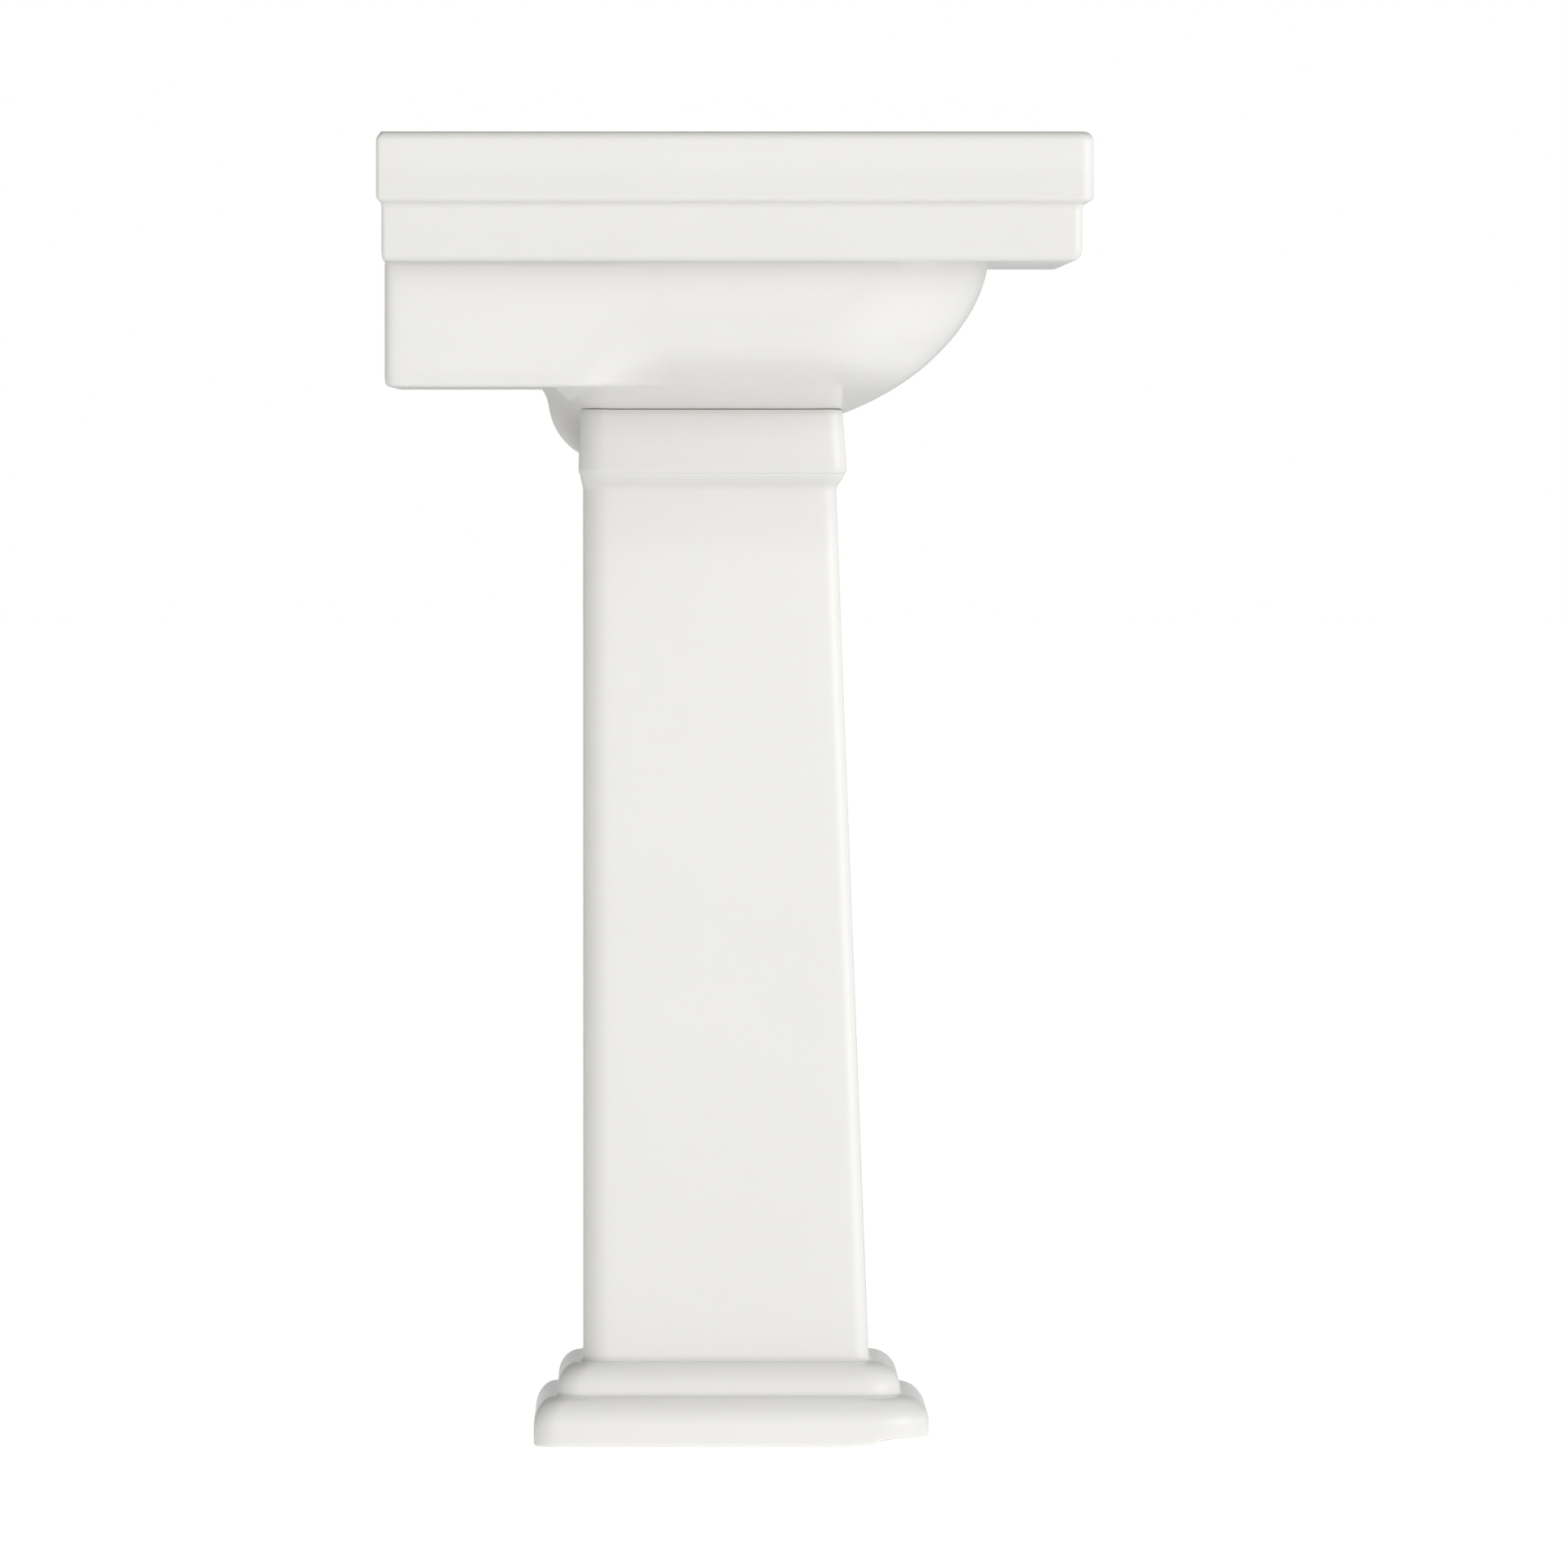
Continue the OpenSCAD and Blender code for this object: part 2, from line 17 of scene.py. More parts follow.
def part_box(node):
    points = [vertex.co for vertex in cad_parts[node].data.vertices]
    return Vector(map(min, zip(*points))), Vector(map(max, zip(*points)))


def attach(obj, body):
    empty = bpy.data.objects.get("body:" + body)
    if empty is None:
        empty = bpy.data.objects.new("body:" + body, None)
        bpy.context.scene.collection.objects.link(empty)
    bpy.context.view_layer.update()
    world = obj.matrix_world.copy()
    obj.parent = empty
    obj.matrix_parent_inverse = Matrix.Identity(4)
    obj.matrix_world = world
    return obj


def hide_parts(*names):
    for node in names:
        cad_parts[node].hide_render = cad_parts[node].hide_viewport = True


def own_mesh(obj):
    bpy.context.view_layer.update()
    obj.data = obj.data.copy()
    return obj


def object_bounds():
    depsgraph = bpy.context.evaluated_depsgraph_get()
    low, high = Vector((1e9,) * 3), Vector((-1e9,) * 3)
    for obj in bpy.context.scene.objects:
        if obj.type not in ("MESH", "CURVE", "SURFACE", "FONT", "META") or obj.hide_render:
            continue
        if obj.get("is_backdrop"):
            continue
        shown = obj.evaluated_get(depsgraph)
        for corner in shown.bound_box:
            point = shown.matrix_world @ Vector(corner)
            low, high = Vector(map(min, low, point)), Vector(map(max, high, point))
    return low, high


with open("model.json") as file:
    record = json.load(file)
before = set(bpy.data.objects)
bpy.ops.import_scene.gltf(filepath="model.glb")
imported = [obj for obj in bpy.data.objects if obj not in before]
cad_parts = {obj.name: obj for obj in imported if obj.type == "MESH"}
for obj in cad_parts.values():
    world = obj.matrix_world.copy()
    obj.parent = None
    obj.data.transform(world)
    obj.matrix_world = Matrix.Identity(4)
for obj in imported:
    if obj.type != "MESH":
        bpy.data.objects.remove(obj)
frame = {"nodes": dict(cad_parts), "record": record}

cad_low, cad_high = (v.copy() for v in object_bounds())
print("measured box, m:", [round(v, 3) for v in cad_high - cad_low])

# %% [markdown]
# ## Where things are
# X runs across the basin, -Y faces the user, +Y is the wall and Z is up. The levels and outlines are
# read from the boxes of the measured pieces wherever a box can give them. What a box can't give, such
# as the depth of a step, is a plain size in millimetres.

# %% Levels and outlines
MM = 0.001
BANDS = 86.5 * MM                 # height of both bands of the edge
UPPER_BAND = 47 * MM              # height of the tall upper band
BORDER_DROP = 4 * MM              # the field inside the border is sunk by this
EDGE_REACH = 43 * MM              # the edge stands out past the bowl by this, at the sides
basin_low, basin_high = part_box("basin")
column_low, column_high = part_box("pedestal")
gasket_low, gasket_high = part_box("flange_gasket")

rim_half = basin_high.x
rim_front, wall = basin_low.y, basin_high.y
rim_z = basin_high.z
shelf_z = rim_z - BANDS           # underside of the stepped edge
band_foot = rim_z - UPPER_BAND    # lower edge of the tall upper band
field_z = rim_z - BORDER_DROP     # sunk field inside the border
body_half = rim_half - EDGE_REACH  # half width of the bowl and the apron
apron_back = wall - 5 * MM
apron_foot = 719 * MM
seat_z = gasket_low.z             # china under the waste's flange
waste = Vector((0, (gasket_low.y + gasket_high.y) / 2, seat_z))
boss_foot = basin_low.z
print("waste centre, mm:", [round(v / MM, 1) for v in waste], " boss foot:", round(boss_foot / MM, 1))

# %% [markdown]
# ## A way to loft
# Every casting here is a stack of level outlines: rectangles with round corners that grow, shrink and
# shift on the way up. Bridging finished rings would leave Blender to guess which point joins which.
# Instead one ring of points is extruded again and again, each point keeps its number in a layer, and
# after each extrude the numbers say where on the new outline a point belongs. No face can twist.

# %% Outlines and the loft
CORNER = 12                       # faces round each corner of an outline
SIDE = 12                         # faces along each straight side
RING = 4 * (CORNER + SIDE)


def outline(half_w, front, back, r_front, r_back, z):
    """Points of a level rectangle with round corners, from the back right corner round."""
    corners = [(half_w - r_back, back - r_back, r_back, 0),
               (r_back - half_w, back - r_back, r_back, 90),
               (r_front - half_w, front + r_front, r_front, 180),
               (half_w - r_front, front + r_front, r_front, 270)]

    def on_arc(corner, share):
        x, y, r, start = corners[corner % 4]
        turn = math.radians(start + 90 * share)
        return Vector((x + r * math.cos(turn), y + r * math.sin(turn), z))

    points = []
    for corner in range(4):
        points += [on_arc(corner, k / CORNER) for k in range(CORNER + 1)]
        a, b = on_arc(corner, 1), on_arc(corner + 1, 0)
        points += [a.lerp(b, k / SIDE) for k in range(1, SIDE)]
    return points


def loft(rings):
    """A closed solid through rings that all have the same number of points."""
    bm = bmesh.new()
    spot = bm.verts.layers.int.new("spot")
    verts = bmesh.ops.create_circle(bm, segments=len(rings[0]), radius=1)["verts"]
    for i, v in enumerate(verts):
        v[spot] = i
        v.co = rings[0][i]
    edges = list(bm.edges)
    bmesh.ops.contextual_create(bm, geom=edges)
    for ring in rings[1:]:
        grown = bmesh.ops.extrude_edge_only(bm, edges=edges)["geom"]
        verts = {g for g in grown if isinstance(g, bmesh.types.BMVert)}
        edges = [g for g in grown if isinstance(g, bmesh.types.BMEdge) and set(g.verts) <= verts]
        for v in verts:
            v.co = ring[v[spot]]
    bmesh.ops.contextual_create(bm, geom=edges)
    bmesh.ops.remove_doubles(bm, verts=bm.verts, dist=0.02 * MM)
    bmesh.ops.recalc_face_normals(bm, faces=bm.faces)
    return bm


def as_object(bm, name):
    """The bmesh as an object of its own, and the bmesh is freed."""
    mesh = bpy.data.meshes.new(name)
    bm.to_mesh(mesh)
    bm.free()
    piece = bpy.data.objects.new(name, mesh)
    bpy.context.scene.collection.objects.link(piece)
    return piece


def steps(first, last, count):
    """Evenly spaced values from first to last, both included."""
    return [first + (last - first) * k / count for k in range(count + 1)]


print("points in an outline:", len(outline(1, -1, 1, 0.2, 0.2, 0)), "=", RING)

# %% [markdown]
# ## Joining and cutting
# The castings are made like a carpenter's job: solids are added, then the hollows are cut out of
# them. Blender's Manifold solver does that on closed solids in a moment, even on a fine mesh. Each
# cutter carries its own flare where it leaves the surface, so a cut hole comes out with the soft
# lip that glaze gives it, and no bevel has to find its way along a ragged edge afterwards.

# %% Boolean and modifier helpers
def apply_modifiers(piece):
    """Bakes the piece's modifiers into its mesh."""
    evaluated = piece.evaluated_get(bpy.context.evaluated_depsgraph_get())
    mesh = bpy.data.meshes.new_from_object(evaluated)
    piece.modifiers.clear()
    old = piece.data
    piece.data = mesh
    mesh.name = piece.name
    bpy.data.meshes.remove(old)


def combine(piece, operation, *others):
    """Adds the other solids to the piece or cuts them out of it, and removes them."""
    for other in others:
        step = piece.modifiers.new(operation.title(), "BOOLEAN")
        step.operation = operation
        step.object = other
        step.solver = "MANIFOLD"
    apply_modifiers(piece)
    for other in others:
        bpy.data.objects.remove(other, do_unlink=True)
    return piece


def count_faults(piece):
    """Edges that don't join exactly two faces."""
    bm = bmesh.new()
    bm.from_mesh(piece.data)
    faults = sum(len(e.link_faces) != 2 for e in bm.edges)
    print(f"{piece.name}: {len(bm.faces)} faces, {faults} open or doubled edges")
    bm.free()


def spun(profile, facets):
    """A half profile of radii and heights, spun a full turn round the Z axis."""
    bm = bmesh.new()
    verts = [bm.verts.new((r, 0, z)) for r, z in profile]
    line = [bm.edges.new(pair) for pair in zip(verts, verts[1:])]
    bmesh.ops.spin(bm, geom=verts + line, cent=(0, 0, 0), axis=(0, 0, 1), angle=math.tau,
                   steps=facets, use_merge=True)
    bmesh.ops.remove_doubles(bm, verts=bm.verts, dist=0.01 * MM)
    return bm


PAST = 3 * MM                     # a hole's cutter reaches past both faces by this


def round_hole(radius, low, high, place=Vector(), turn=Matrix(), flare_low=0.0, flare_high=0.0):
    """A cutter for a round hole from low to high along its axis, flared at either end."""
    quarter = steps(0, math.pi / 2, 8)
    if flare_low:
        profile = [(radius + flare_low * (1 - math.sin(a)), low + flare_low * (1 - math.cos(a)))
                   for a in quarter]
    else:
        profile = [(radius, low)]
    if flare_high:
        profile += [(radius + flare_high * (1 - math.cos(a)), high - flare_high * (1 - math.sin(a)))
                    for a in quarter]
    else:
        profile.append((radius, high))
    bottom, top = profile[0], profile[-1]
    profile = [(0, bottom[1] - PAST), (bottom[0], bottom[1] - PAST)] + profile
    profile += [(top[0], top[1] + PAST), (0, top[1] + PAST)]
    bm = spun(profile, 64)
    bmesh.ops.transform(bm, matrix=Matrix.Translation(place) @ turn, verts=bm.verts)
    bmesh.ops.recalc_face_normals(bm, faces=bm.faces)
    return as_object(bm, "hole cutter")


TO_WALL = Matrix.Rotation(math.radians(-90), 4, "X")     # turns a cutter's axis from +Z to +Y

# %% [markdown]
# ## The stepped edge
# On the real basin the edge is a hollow casting with two bands: a tall upper one, and a lower one set
# back a few millimetres under it, with a small cove between. Its profile is what the light draws as
# lines along the sides, so the outlines are closest together where the profile turns.

# %% Stepped edge
BAND_STEP = 7.5 * MM


def edge_ring(inset, z):
    """Outline of the edge, drawn in by inset, but hardly at all at the wall."""
    return outline(rim_half - inset, rim_front + inset, wall - min(inset, 2 * MM + inset / 5),
                   max(9 * MM - inset / 3, 4 * MM), 3 * MM, z)


rings = []
for a in steps(90, 0, 8):        # rounded lower edge of the lower band
    t = math.radians(a)
    rings.append(edge_ring(BAND_STEP + 7 * MM * (1 - math.cos(t)), shelf_z + 8 * MM * (1 - math.sin(t))))
for a in steps(0, 90, 7):        # cove that runs out under the upper band
    t = math.radians(a)
    rings.append(edge_ring(BAND_STEP - 3.5 * MM * (1 - math.cos(t)),
                           band_foot - 5 * MM + 4.5 * MM * math.sin(t)))
for a in steps(75, 0, 5):        # lower edge of the upper band
    t = math.radians(a)
    rings.append(edge_ring(4 * MM * (1 - math.cos(t)), band_foot + 4 * MM * (1 - math.sin(t))))
for a in steps(0, 90, 9):        # rounded top edge
    t = math.radians(a)
    rings.append(edge_ring(6.5 * MM * (1 - math.cos(t)), rim_z - 6.5 * MM * (1 - math.sin(t))))
basin = as_object(loft(rings), "Basin")
print("stepped edge:", len(rings), "outlines")

# %% [markdown]
# ## The hollow behind the bowl
# Behind the bowl the casting is open from below, so that a fitter can reach the tap nuts and the wall
# bolts. A block with round corners is cut out of the edge before anything else is joined to it.

# %% Hollow behind the bowl
BOWL_BACK = 142 * MM
APRON_WALL = 11 * MM
DECK = 12 * MM


def rear_cutter(top):
    """The space behind the bowl, open below and rounded where it meets the deck."""
    rings = [outline(body_half - APRON_WALL, BOWL_BACK + 1 * MM, apron_back - APRON_WALL, 8 * MM, 8 * MM, z)
             for z in (shelf_z - 20 * MM, top - 8 * MM)]
    for a in steps(15, 90, 5):
        t = math.radians(a)
        inset = 8 * MM * (1 - math.cos(t))
        rings.append(outline(body_half - APRON_WALL - inset, BOWL_BACK + 1 * MM + inset,
                             apron_back - APRON_WALL - inset, 8 * MM, 8 * MM,
                             top - 8 * MM * (1 - math.sin(t))))
    return as_object(loft(rings), "rear cutter")


combine(basin, "DIFFERENCE", rear_cutter(field_z - DECK))
count_faults(basin)

# %% [markdown]
# ## The bowl's outside and the apron
# Below the edge hang the bowl, the apron behind it and the rib of the overflow, and on a real casting
# they run into each other with wide, soft hollows, because slip was poured into a plaster mould that
# had no sharp corner. Rounding such seams one by one is hard. Instead the plain solids are joined and
# then remeshed as a cloud of small cells, and a few rounds of smoothing let the seams melt.

# %% Bowl outline at each depth
# Each bowl is its half width, its reach to the front at the top, the Y of its back, and its depth.
BOWL_OUT = (body_half, 172 * MM, BOWL_BACK, 118 * MM)
BOWL_IN = (body_half - 12 * MM, 160.5 * MM, 128 * MM, 102 * MM)
BODY_TOP = shelf_z + 2.5 * MM
SEAT_R = 36 * MM


def ease(t):
    """0 below 0, 1 above 1, and a smooth rise between."""
    t = min(1, max(0, t))
    return t * t * (3 - 2 * t)


def bowl_half(bowl, u):
    """Half width of the bowl at share u of its depth."""
    return max(SEAT_R, bowl[0] * (1 - u ** 8) ** 3)


def bowl_ring(bowl, corner, u, grow=0.0):
    """Outline at share u of the bowl's depth: sides that turn under late, a long curve in front."""
    half = bowl_half(bowl, u) + grow
    front = min(waste.y - SEAT_R, -bowl[1] * math.sqrt(1 - u ** 1.7)) - grow
    back = max(waste.y + SEAT_R, waste.y + (bowl[2] - waste.y) * math.sqrt(1 - u ** 3.2)) + grow
    r = corner[0] + (corner[1] - corner[0]) * ease((u - 0.5) / 0.36)
    r = min(r, half - 1 * MM, (back - front) / 2 - 1 * MM)
    return outline(half, front, back, r, r, BODY_TOP - bowl[3] * u)


def seat_ring(z, radius=SEAT_R):
    """A circle round the waste, with as many points as any other outline."""
    return outline(radius, waste.y - radius, waste.y + radius, radius * 0.999, radius * 0.999, z)


LEVELS = [0.93, 0.915, 0.9, 0.885, 0.87, 0.85, 0.83, 0.81, 0.785, 0.76, 0.735, 0.71, 0.68, 0.65,
          0.61, 0.57, 0.53, 0.48, 0.43, 0.38, 0.32, 0.26, 0.2, 0.13, 0.06, 0]


def bowl_solid(name, drop=0.0):
    """The bowl's outside as a solid, let down by drop."""
    rings = [seat_ring(BODY_TOP - 115 * MM)] + [bowl_ring(BOWL_OUT, (92 * MM, 26 * MM), u) for u in LEVELS]
    rings.append([p + Vector((0, 0, 6 * MM)) for p in rings[-1]])
    return as_object(loft([[p - Vector((0, 0, drop)) for p in ring] for ring in rings]), name)


body = bowl_solid("Body")
count_faults(body)

# %% [markdown]
# The apron's side walls stand upright at the back and lean in to follow the bowl at the front. Each
# is a loft along Y: its outer face is a blend between a straight wall and the bowl's own side.

# %% Apron
WING_FRONT, WING_BACK = 38 * MM, 104 * MM


def wing_section(y, side):
    """Closed section of the apron's side wall at y, from its inner top edge round."""
    w = ease((WING_BACK - y) / (WING_BACK - WING_FRONT))
    high = BODY_TOP + 3 * MM
    inner = body_half - APRON_WALL - 62 * MM * w
    points = [Vector((side * inner, y, high))]
    for k in range(21):
        z = high - (high - apron_foot) * (1 - (1 - k / 20) ** 1.6)
        u = max(0, (BODY_TOP - z) / BOWL_OUT[3])
        x = body_half - (body_half - bowl_half(BOWL_OUT, u)) * w - 0.8 * MM * w
        points.append(Vector((side * x, y, z)))
    points.append(Vector((side * inner, y, apron_foot)))
    return points


wing_places = steps(WING_FRONT, WING_BACK, 22) + [WING_BACK + 8 * MM]
wings = [as_object(loft([wing_section(y, side) for y in wing_places]), "wing") for side in (-1, 1)]
walls = as_object(loft([outline(body_half, WING_BACK, apron_back, 1 * MM, 6 * MM, z)
                        for z in (apron_foot, BODY_TOP + 3 * MM)]), "apron walls")
inside = as_object(loft([outline(body_half - APRON_WALL, 60 * MM, apron_back - APRON_WALL, 1 * MM, 6 * MM, z)
                         for z in (apron_foot - 20 * MM, BODY_TOP + 20 * MM)]), "apron inside")
combine(walls, "DIFFERENCE", inside)

# %% [markdown]
# The overflow needs a passage from the back of the bowl down to the waste, and on the outside that
# shows as a rib that leaves the bowl, turns round under it and dies into the boss for the waste.

# %% Overflow rib and waste boss
RIB_HALF = 32 * MM
BEND = Vector((0, 83 * MM, 712 * MM))
BEND_R = 43.5 * MM
BOSS_R, BOSS_H = 34 * MM, 34 * MM


def extruded(points, half, name):
    """A flat outline in the YZ plane, pulled out to both sides of X = 0."""
    bm = bmesh.new()
    face = bm.faces.new([bm.verts.new((-half, y * MM, z * MM)) for y, z in points])
    pulled = bmesh.ops.extrude_face_region(bm, geom=[face])["geom"]
    far_side = [g for g in pulled if isinstance(g, bmesh.types.BMVert)]
    bmesh.ops.translate(bm, vec=(2 * half, 0, 0), verts=far_side)
    bmesh.ops.recalc_face_normals(bm, faces=bm.faces)
    return as_object(bm, name)


def cylinder(radius, depth, matrix, name):
    """A round solid whose middle and axis are those of the matrix."""
    bm = bmesh.new()
    bmesh.ops.create_cone(bm, cap_ends=True, segments=96, radius1=radius, radius2=radius,
                          depth=depth, matrix=matrix)
    return as_object(bm, name)


rib = extruded([(83, 669), (124.5, 700), (126.5, 712), (152, 752), (152, 878), (134, 878), (119, 760),
                (48, 705), (48, 669)], RIB_HALF, "rib")
across_basin = Matrix.Rotation(math.radians(90), 4, "Y")
bend = cylinder(BEND_R, 2 * RIB_HALF, Matrix.Translation(BEND) @ across_basin, "bend")
boss = cylinder(BOSS_R, BOSS_H, Matrix.Translation((0, waste.y, boss_foot + BOSS_H / 2)), "boss")
combine(body, "UNION", *wings, walls, rib, bend, boss)
count_faults(body)

# %% [markdown]
# A cell of 3 mm keeps every wall and still lets a seam round off over 6 to 8 mm, which is about what
# a glazed casting shows.

# %% Soften the body
CELL = 3.0 * MM
grain = body.modifiers.new("Cells", "REMESH")
grain.mode = "VOXEL"
grain.voxel_size = CELL
melt = body.modifiers.new("Melt", "SMOOTH")
melt.factor = 0.5
melt.iterations = 10
apply_modifiers(body)
count_faults(body)
combine(basin, "UNION", body)
count_faults(basin)

# %% [markdown]
# ## The bowl's inside and the top
# One cutter makes everything that is seen from above: the soft step down from the border, the sunk
# field, the rounded lip, the walls and the floor of the bowl down to the flat round the waste.

# %% Cut the top and the bowl
BORDER = 26 * MM
OPEN_HALF, OPEN_FRONT, OPEN_BACK = rim_half - 52 * MM, -190 * MM, 129 * MM
LIP = 8 * MM


def field_ring(inset, z):
    """Outline of the sunk field inside the border."""
    return outline(rim_half - BORDER - inset, rim_front + BORDER + inset, wall - BORDER - inset,
                   14 * MM, 14 * MM, z)


def mouth_ring(grow, z):
    """Outline of the bowl's mouth, let out by grow."""
    return outline(OPEN_HALF + grow, OPEN_FRONT - grow, OPEN_BACK + grow, 72 * MM + grow, 72 * MM + grow, z)


rings = [seat_ring(seat_z, 8 * MM), seat_ring(seat_z, 34 * MM)]
rings += [bowl_ring(BOWL_IN, (80 * MM, 50 * MM), u) for u in LEVELS]
for a in steps(0, 90, 10):       # rounded lip
    t = math.radians(a)
    rings.append(mouth_ring(LIP * (1 - math.cos(t)) - 1 * MM, field_z - LIP * (1 - math.sin(t))))
rings.append(field_ring(3 * MM, field_z))
for a in steps(15, 90, 5):       # soft foot of the border's step
    t = math.radians(a)
    rings.append(field_ring(3 * MM - 1.8 * MM * math.sin(t), field_z + 1.8 * MM * (1 - math.cos(t))))
for a in steps(15, 90, 5):       # rounded shoulder of the border's step
    t = math.radians(a)
    rings.append(field_ring(1.2 * MM - 2.2 * MM * (1 - math.cos(t)),
                            field_z + 1.8 * MM + 2.2 * MM * math.sin(t)))
rings.append([p + Vector((0, 0, 10 * MM)) for p in rings[-1]])
combine(basin, "DIFFERENCE", as_object(loft(rings), "bowl cutter"))
count_faults(basin)

# %% [markdown]
# ## Holes
# Three tap holes go through the deck, the waste hole through the boss, the overflow through the back
# of the bowl, and two bolt holes through the apron. A small slanted hole under the front lets the
# steam out of the casting in the kiln.

# %% Holes in the basin
TAP_Y = wall - 62 * MM
TAP_SPACING, TAP_R = 101.6 * MM, 17.5 * MM
WASTE_HOLE_R = 22.25 * MM
BOLT_X, BOLT_Z, BOLT_R = 140 * MM, 765 * MM, 7 * MM
cutters = [round_hole(TAP_R, field_z - DECK, field_z, Vector((x, TAP_Y, 0)), flare_high=2.5 * MM)
           for x in (-TAP_SPACING, 0, TAP_SPACING)]
cutters.append(round_hole(WASTE_HOLE_R, boss_foot, seat_z, Vector((0, waste.y, 0)),
                          flare_low=2 * MM, flare_high=1.5 * MM))
cutters += [round_hole(BOLT_R, apron_back - APRON_WALL, apron_back, Vector((x, 0, BOLT_Z)), TO_WALL,
                       flare_low=2 * MM, flare_high=2 * MM) for x in (-BOLT_X, BOLT_X)]
cutters.append(round_hole(3 * MM, 2 * MM, 24 * MM, Vector((0, -188 * MM, shelf_z - 2 * MM)),
                          Matrix.Rotation(math.radians(40), 4, "X")))
channel = extruded([(135, 865), (143.5, 865), (143.5, 754), (118, 714), (111, 692), (96, 677), (48, 677),
                    (48, 687), (92, 687), (101, 697), (110, 718), (135, 757)], 21 * MM, "channel")
SLOT_Z, SLOT_HALF, SLOT_R = 857 * MM, 18 * MM, 4.5 * MM


def slot_ring(grow, y):
    """Outline of the overflow slot at y: two half rounds and two straight sides."""
    end_r = 4.49 * MM + grow
    ring = outline(SLOT_HALF + grow, -SLOT_R - grow, SLOT_R + grow, end_r, end_r, 0)
    return [Vector((p.x, y, SLOT_Z + p.y)) for p in ring]


slot_rings = [slot_ring(3 * MM, OPEN_BACK - 6 * MM)]
for a in steps(0, 90, 6):
    t = math.radians(a)
    slot_rings.append(slot_ring(3 * MM * (1 - math.sin(t)), OPEN_BACK - 1 * MM + 3 * MM * (1 - math.cos(t))))
slot_rings.append(slot_ring(0, OPEN_BACK + 12 * MM))
cutters.append(as_object(loft(slot_rings), "slot cutter"))
combine(basin, "DIFFERENCE", channel, *cutters)
count_faults(basin)

# %% [markdown]
# ## The column
# The column is one tall casting: a foot of two rounded steps, a shaft that tapers more in front than
# at the sides, and a cap that swells out over a small cove. It is hollow to the floor and has a long
# opening at the back for the pipes. The same loft makes its outside and its hollow.

# %% Column outside
FOOT_HALF = column_high.x
FOOT_FRONT, FOOT_BACK = column_low.y, column_high.y
SHAFT_BACK = 102.5 * MM
FOOT_INSET = 41 * MM
SHAFT_Z, COVE_Z, CAP_Z, CAP_TOP = 62 * MM, 649 * MM, 660.5 * MM, 711 * MM
# The hollow under the cap: how far out it has come, as a share of the whole, and its height in mm.
COVE = [(0.02, 1.2), (0.08, 2.4), (0.18, 3.6), (0.32, 4.8), (0.5, 6.3), (0.7, 8), (0.88, 9.8), (0.97, 11)]


def foot_ring(inset, z):
    """Outline of the foot, drawn in by inset. At the back it is drawn in less, as the shaft is near it."""
    back = FOOT_BACK - inset * (FOOT_BACK - SHAFT_BACK) / FOOT_INSET
    return outline(FOOT_HALF - inset, FOOT_FRONT + inset, back,
                   38 * MM - 0.67 * inset, 16 * MM + 0.05 * inset, z)


def shaft_ring(t, z, side=0.0, front=0.0, back=0.0, r=10.5 * MM, r_back=18 * MM):
    """Outline of the shaft from its foot (t = 0) to its top (t = 1), let out by side, front and back."""
    return outline(FOOT_HALF - FOOT_INSET - 12 * MM * t + side, -92 * MM + 22 * MM * t - front,
                   SHAFT_BACK + back, r, r_back, z)


rings = [foot_ring(3 * MM, 0)]
for a in steps(15, 90, 5):
    t = math.radians(a)
    rings.append(foot_ring(3 * MM * (1 - math.sin(t)), 3 * MM * (1 - math.cos(t))))
for a in steps(0, 90, 12):       # lower step
    t = math.radians(a)
    rings.append(foot_ring(18 * MM * (1 - math.cos(t)), 13 * MM + 21 * MM * math.sin(t)))
for a in steps(15, 90, 5):       # hollow at the foot of the upper step
    t = math.radians(a)
    rings.append(foot_ring(18 * MM + 1.5 * MM * math.sin(t), 34 * MM + 3 * MM * (1 - math.cos(t))))
for a in steps(0, 90, 12):       # upper step
    t = math.radians(a)
    rings.append(foot_ring(19.5 * MM + 18.5 * MM * (1 - math.cos(t)), 37.5 * MM + 19 * MM * math.sin(t)))
for a in steps(15, 90, 6):       # hollow at the foot of the shaft
    t = math.radians(a)
    rings.append(foot_ring(38 * MM + 3 * MM * math.sin(t), 56.5 * MM + 5 * MM * (1 - math.cos(t))))
for t in steps(0.01, 1, 12):
    rings.append(shaft_ring(t, SHAFT_Z + (COVE_Z - SHAFT_Z) * t))
for share, rise in COVE:         # hollow under the cap
    rings.append(shaft_ring(1, COVE_Z + rise * MM, 11 * MM * share, 5.5 * MM * share, 2 * MM * share))
for a in steps(75, 0, 5):        # lower edge of the cap
    t = math.radians(a)
    rings.append(shaft_ring(1, CAP_Z + 4 * MM * (1 - math.sin(t)), 10 * MM + 3 * MM * math.cos(t),
                            5 * MM + 2 * MM * math.cos(t), 2 * MM + 1 * MM * math.cos(t), 12 * MM))
for a in steps(0, 90, 10):       # top edge of the cap
    t = math.radians(a)
    inset = 9 * MM * (1 - math.cos(t))
    rings.append(shaft_ring(1, CAP_TOP - 12 * MM * (1 - math.sin(t)), 11.5 * MM - inset, 4.5 * MM - inset,
                            2 * MM - inset, 12 * MM))
column = as_object(loft(rings), "Column")
count_faults(column)

# %% [markdown]
# A casting this tall never leaves the kiln quite true. The front lip of the foot is relieved by a few
# millimetres so that the column bears on its sides and back, and a move of the lowest points that
# fades out upwards gives that relief without touching the rest.

